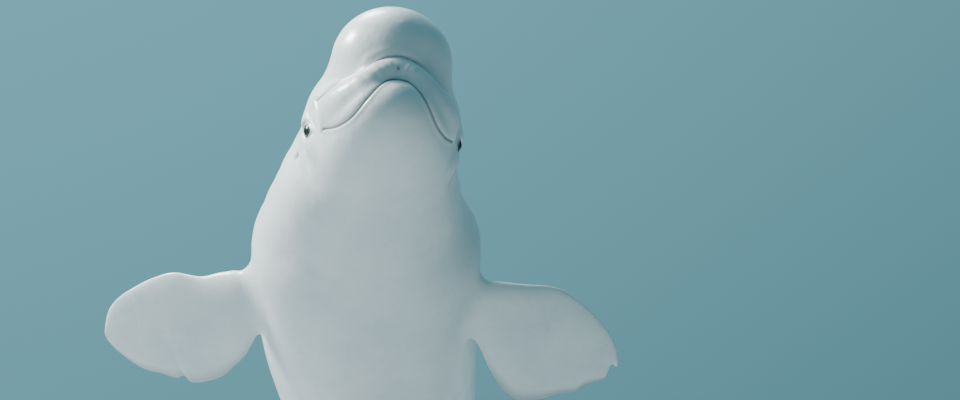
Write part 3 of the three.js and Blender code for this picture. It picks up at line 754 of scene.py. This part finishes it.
# painted shade: grey in the navel and the genital slit on the belly
navel = bump(np.hypot(s - NAVEL_S, w), 0.007)
slit = bump(w, 0.004) * window(s, SLIT_START, SLIT_END, 0.02)
painted_shade_and_fin_grey = np.maximum(painted_shade_and_fin_grey, np.where(h < 0, 0.7 * np.maximum(navel, slit), 0))
# The scar behind the right eye is paler than the hide
scar = np.array([(0.398, -0.219, 0.000), (0.396, -0.217, -0.012), (0.398, -0.210, -0.044)])
pale = bump(tube_distance(straight, scar, np.zeros(3)), 0.0045)
write_attribute(skin.data, "dark_marks_and_painted_shade", dark_marks_and_painted_shade)
# the fins' back edges and tips go grey, partly their own tone and partly painted shade
write_attribute(skin.data, "painted_shade_and_fin_grey", np.maximum(painted_shade_and_fin_grey, 0.75 * fin_rim))
write_attribute(skin.data, "pale", pale)


def material(name, color, roughness, metallic=0.0):
    made = bpy.data.materials.new(name)
    made.use_nodes = True
    shader = made.node_tree.nodes["Principled BSDF"]
    shader.inputs["Base Color"].default_value = (*color, 1)
    shader.inputs["Roughness"].default_value = roughness
    shader.inputs["Metallic"].default_value = metallic
    return made, made.node_tree, shader


def add(tree, kind, inputs=(), **settings):
    """A node with its settings, and its sockets either linked or set."""
    made = tree.nodes.new(kind)
    for key, value in settings.items():
        setattr(made, key, value)
    for key, value in dict(inputs).items():
        if isinstance(value, bpy.types.NodeSocket):
            tree.links.new(value, made.inputs[key])
        else:
            made.inputs[key].default_value = value
    return made


def mix_color(tree, factor, a, b):
    a, b = (c if isinstance(c, bpy.types.NodeSocket) else (*c, 1) for c in (a, b))
    return add(tree, "ShaderNodeMix", {0: factor, 6: a, 7: b}, data_type="RGBA").outputs[2]


def remap(tree, value, low, high, to_low=0.0, to_high=1.0):
    return add(tree, "ShaderNodeMapRange", {
        "Value": value, "From Min": low, "From Max": high, "To Min": to_low, "To Max": to_high,
    }).outputs["Result"]


def noise(tree, scale, detail=3.0, roughness=0.5, stretch=(1, 1, 1), turn=(0, 0, 0)):
    coordinate = add(tree, "ShaderNodeTexCoord").outputs["Object"]
    mapped = add(tree, "ShaderNodeMapping", {"Vector": coordinate, "Scale": stretch, "Rotation": turn})
    made = add(tree, "ShaderNodeTexNoise", {
        "Vector": mapped.outputs["Vector"], "Scale": scale, "Detail": detail, "Roughness": roughness,
    })
    return made.outputs["Fac"]


def attribute(tree, name):
    return add(tree, "ShaderNodeAttribute", attribute_name=name).outputs["Fac"]


# The hide: white, faintly clouded and scratched, grey at the fin edges (partly painted shade on their back
# edges), with painted shade in the creases and near-black painted shade in the mouth line, ear pits and
# blowhole
hide, tree, shader = material("whale_hide", (0.84, 0.86, 0.85), 0.36)
clouds = remap(tree, noise(tree, 5.0, 5.0, 0.6), 0.42, 0.72)
color = mix_color(tree, clouds, (0.84, 0.86, 0.85), (0.70, 0.75, 0.77))
freckles = remap(tree, noise(tree, 70.0, 4.0, 0.65), 0.60, 0.78, 0.0, 0.35)
color = mix_color(tree, freckles, color, (0.60, 0.66, 0.68))
rakes = remap(tree, noise(tree, 9.0, 6.0, 0.7, (0.5, 9.0, 9.0), (0.5, 0.9, 0.3)), 0.66, 0.72, 0.0, 0.45)
color = mix_color(tree, rakes, color, (0.62, 0.68, 0.70))
# painted shade: grey in the lip crease and cheek fold, round the eyes, in the navel and slit, and on the
# fins' back edges, where it is partly their own grey
color = mix_color(tree, attribute(tree, "painted_shade_and_fin_grey"), color, (0.30, 0.35, 0.38))
color = mix_color(tree, attribute(tree, "pale"), color, (0.97, 0.95, 0.88))
# near black: painted shade in the mouth line, ear pits and blowhole, with the own dark colour of the lid
# edges and the spots
color = mix_color(tree, attribute(tree, "dark_marks_and_painted_shade"), color, (0.030, 0.032, 0.035))
tree.links.new(color, shader.inputs["Base Color"])
tree.links.new(remap(tree, noise(tree, 18.0, 4.0), 0.3, 0.7, 0.30, 0.46), shader.inputs["Roughness"])
pores = add(tree, "ShaderNodeBump", {"Height": noise(tree, 260.0, 3.0), "Strength": 0.10, "Distance": 0.002})
dents = add(tree, "ShaderNodeBump", {
    "Height": noise(tree, 14.0, 4.0, 0.55), "Strength": 0.16, "Distance": 0.02,
    "Normal": pores.outputs["Normal"],
})
lines = add(tree, "ShaderNodeBump", {
    "Height": rakes, "Strength": 0.20, "Distance": -0.002, "Normal": dents.outputs["Normal"],
})
tree.links.new(lines.outputs["Normal"], shader.inputs["Normal"])
shader.inputs["Subsurface Weight"].default_value = 0.15
shader.inputs["Subsurface Radius"].default_value = (0.020, 0.024, 0.026)
shader.inputs["Coat Weight"].default_value = 0.30
shader.inputs["Coat Roughness"].default_value = 0.18
skin.data.materials.clear()
skin.data.materials.append(hide)

# Eyeballs: a dark brown iris round a black pupil, wet and glossy
wet, tree, shader = material("wet_eye", (0.02, 0.015, 0.012), 0.25)
from_pupil = attribute(tree, "from_pupil")
flecks = remap(tree, noise(tree, 900.0, 3.0), 0.35, 0.7)
iris = mix_color(tree, flecks, (0.022, 0.014, 0.010), (0.060, 0.045, 0.034))
color = mix_color(tree, remap(tree, from_pupil, 0.30, 0.36), (0.004, 0.004, 0.005), iris)
color = mix_color(tree, remap(tree, from_pupil, 0.66, 0.80), color, (0.10, 0.11, 0.12))
tree.links.new(color, shader.inputs["Base Color"])
shader.inputs["Specular IOR Level"].default_value = 0.20
shader.inputs["Coat Weight"].default_value = 0.25
shader.inputs["Coat Roughness"].default_value = 0.03
for side, name in ((-1, "eye_right"), (1, "eye_left")):
    point, out, long, high = eye_frames[side]
    middle = place(np.array(point - out * EYE_DEPTH))
    gaze = Vector(place(np.array(point))) - Vector(middle)
    ball = bmesh.new()
    bmesh.ops.create_uvsphere(ball, u_segments=40, v_segments=28, radius=EYE_RADIUS)
    mesh = bpy.data.meshes.new(name + "_ball")
    angle = [v.co.angle(gaze) for v in ball.verts]
    bmesh.ops.translate(ball, verts=ball.verts, vec=Vector(middle))
    ball.to_mesh(mesh)
    ball.free()
    write_attribute(mesh, "from_pupil", np.array(angle))
    mesh.shade_smooth()
    eyeball = bpy.data.objects.new(name + "_ball", mesh)
    bpy.context.scene.collection.objects.link(eyeball)
    mesh.materials.append(wet)
    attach(eyeball, "root")
    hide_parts(name)

# Display stand
# A flat painted base and two brushed steel rods on round flanges. These are the solids as built.
paint, tree, shader = material("stand_paint", (0.05, 0.06, 0.07), 0.45)
specks = remap(tree, noise(tree, 220.0, 3.0), 0.45, 0.75)
color = mix_color(tree, specks, (0.045, 0.052, 0.060), (0.075, 0.084, 0.093))
tree.links.new(color, shader.inputs["Base Color"])
tree.links.new(remap(tree, noise(tree, 6.0, 5.0), 0.3, 0.7, 0.38, 0.55), shader.inputs["Roughness"])
peel = add(tree, "ShaderNodeBump", {"Height": noise(tree, 160.0), "Strength": 0.12, "Distance": 0.001})
tree.links.new(peel.outputs["Normal"], shader.inputs["Normal"])
steel, tree, shader = material("stand_steel", (0.55, 0.56, 0.57), 0.32, 1.0)
strokes = noise(tree, 40.0, 4.0, 0.6, (1, 1, 14))
tree.links.new(mix_color(tree, strokes, (0.48, 0.49, 0.50), (0.64, 0.65, 0.66)), shader.inputs["Base Color"])
tree.links.new(remap(tree, strokes, 0.3, 0.7, 0.24, 0.42), shader.inputs["Roughness"])
brushing = add(tree, "ShaderNodeBump", {"Height": strokes, "Strength": 0.08, "Distance": 0.001})
tree.links.new(brushing.outputs["Normal"], shader.inputs["Normal"])
for name, finish in (("stand_base", paint), ("stand_rod_front", steel), ("stand_rod_rear", steel)):
    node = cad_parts[name]
    node.data.materials.clear()
    node.data.materials.append(finish)

# Flange bolts
# Six hexagon-headed bolts on washers hold each flange to the base.
# A node tree makes one ring of them, and each ring is set down on its flange.
RODS = {"front": 1.350, "rear": 2.440}
BOLT_LEVEL = 0.0675
BOLT_SIZES = {
    "Count": 6, "Ring Radius": 0.076, "Head Radius": 0.0085, "Head Height": 0.007, "Washer Height": 0.002,
}


def bolt_ring_tree():
    tree = bpy.data.node_groups.new("bolt_ring", "GeometryNodeTree")
    tree.interface.new_socket("Geometry", in_out="OUTPUT", socket_type="NodeSocketGeometry")
    for name, value in BOLT_SIZES.items():
        kind = "NodeSocketInt" if name == "Count" else "NodeSocketFloat"
        tree.interface.new_socket(name, in_out="INPUT", socket_type=kind).default_value = value
    tree.interface.new_socket("Material", in_out="INPUT", socket_type="NodeSocketMaterial")
    sizes = add(tree, "NodeGroupInput").outputs

    def times(a, b):
        return add(tree, "ShaderNodeMath", {0: a, 1: b}, operation="MULTIPLY").outputs[0]

    def disc(sides, radius, height, raised):
        made = add(tree, "GeometryNodeMeshCylinder", {"Vertices": sides, "Radius": radius, "Depth": height})
        lift = add(tree, "ShaderNodeCombineXYZ", {"Z": raised}).outputs["Vector"]
        moved = add(tree, "GeometryNodeTransform", {"Geometry": made.outputs["Mesh"], "Translation": lift})
        return moved.outputs["Geometry"]
    half_head = times(sizes["Head Height"], 0.5)
    head_middle = add(tree, "ShaderNodeMath", {0: half_head, 1: sizes["Washer Height"]}, operation="ADD")
    head = disc(6, sizes["Head Radius"], sizes["Head Height"], head_middle.outputs[0])
    washer_middle = times(sizes["Washer Height"], 0.5)
    washer = disc(24, times(sizes["Head Radius"], 1.4), sizes["Washer Height"], washer_middle)
    bolt = add(tree, "GeometryNodeJoinGeometry")
    tree.links.new(washer, bolt.inputs[0])
    tree.links.new(head, bolt.inputs[0])
    ring = add(tree, "GeometryNodeMeshCircle", {"Vertices": sizes["Count"], "Radius": sizes["Ring Radius"]})
    turned = add(tree, "FunctionNodeRandomValue", {3: math.pi / 3, "Seed": 4}, data_type="FLOAT")
    turn = add(tree, "ShaderNodeCombineXYZ", {"Z": turned.outputs[1]}).outputs["Vector"]
    placed = add(tree, "GeometryNodeInstanceOnPoints", {
        "Points": ring.outputs["Mesh"], "Instance": bolt.outputs["Geometry"], "Rotation": turn,
    })
    real = add(tree, "GeometryNodeRealizeInstances", {"Geometry": placed.outputs["Instances"]})
    done = add(tree, "GeometryNodeSetMaterial", {
        "Geometry": real.outputs["Geometry"], "Material": sizes["Material"],
    })
    out = add(tree, "NodeGroupOutput")
    tree.links.new(done.outputs["Geometry"], out.inputs["Geometry"])
    return tree


bolt_tree = bolt_ring_tree()
for name, s in RODS.items():
    bolts = bpy.data.objects.new(f"bolts_{name}", bpy.data.meshes.new(f"bolts_{name}"))
    bpy.context.scene.collection.objects.link(bolts)
    ring = bolts.modifiers.new("ring", "NODES")
    ring.node_group = bolt_tree
    for socket in bolt_tree.interface.items_tree:
        if socket.in_out == "INPUT":
            ring[socket.identifier] = steel if socket.name == "Material" else BOLT_SIZES[socket.name]
    bpy.context.view_layer.update()
    made = bpy.data.meshes.new_from_object(bolts.evaluated_get(bpy.context.evaluated_depsgraph_get()))
    bolts.modifiers.clear()
    bolts.data = made
    foot = place(np.array([s, 0.0, 0.0]))
    made.transform(Matrix.Translation((foot[0], foot[1], BOLT_LEVEL)))
    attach(bolts, "root")

# Floor and light
# A plain pale floor, a bright light high on the left, one above and behind, and a cool surround,
# which is brighter from above and from the left, as under water.
FLOOR_HALF = 5
corners = [(x * FLOOR_HALF, y * FLOOR_HALF, 0) for x, y in ((-1, -1), (1, -1), (1, 1), (-1, 1))]
floor_mesh = bpy.data.meshes.new("floor")
floor_mesh.from_pydata(corners, [], [(0, 1, 2, 3)])
floor = bpy.data.objects.new("floor", floor_mesh)
bpy.context.scene.collection.objects.link(floor)
plain, _, _ = material("pale_floor", (0.70, 0.74, 0.76), 0.9)
floor_mesh.materials.append(plain)

world = bpy.data.worlds.new("world")
world.use_nodes = True
BRIGHT_SIDE = (-0.50, 0.45, 0.74)
DIMMEST, BRIGHTEST = 0.08, 1.10
surround = world.node_tree
direction = add(surround, "ShaderNodeTexCoord").outputs["Generated"]
towards = add(surround, "ShaderNodeVectorMath", {0: direction, 1: BRIGHT_SIDE}, operation="DOT_PRODUCT")
brightness = remap(surround, towards.outputs["Value"], -0.9, 0.9, DIMMEST, BRIGHTEST)
background = surround.nodes["Background"]
background.inputs["Color"].default_value = (0.17, 0.45, 0.54, 1)
surround.links.new(brightness, background.inputs["Strength"])
bpy.context.scene.world = world


def soft_light(name, place_at, aim, size, power, color):
    data = bpy.data.lights.new(name, "AREA")
    data.size = size
    data.energy = power
    data.color = color
    light = bpy.data.objects.new(name, data)
    bpy.context.scene.collection.objects.link(light)
    light.location = place_at
    light.rotation_euler = (Vector(aim) - Vector(place_at)).to_track_quat("-Z", "Y").to_euler()


soft_light("key", (-3.1, -0.9, 4.4), (0, -1.0, 1.9), 0.9, 430, (1.0, 0.99, 0.96))
soft_light("rim", (-0.9, 0.4, 5.0), (0.1, -1.2, 2.2), 1.0, 130, (0.9, 0.98, 1.0))
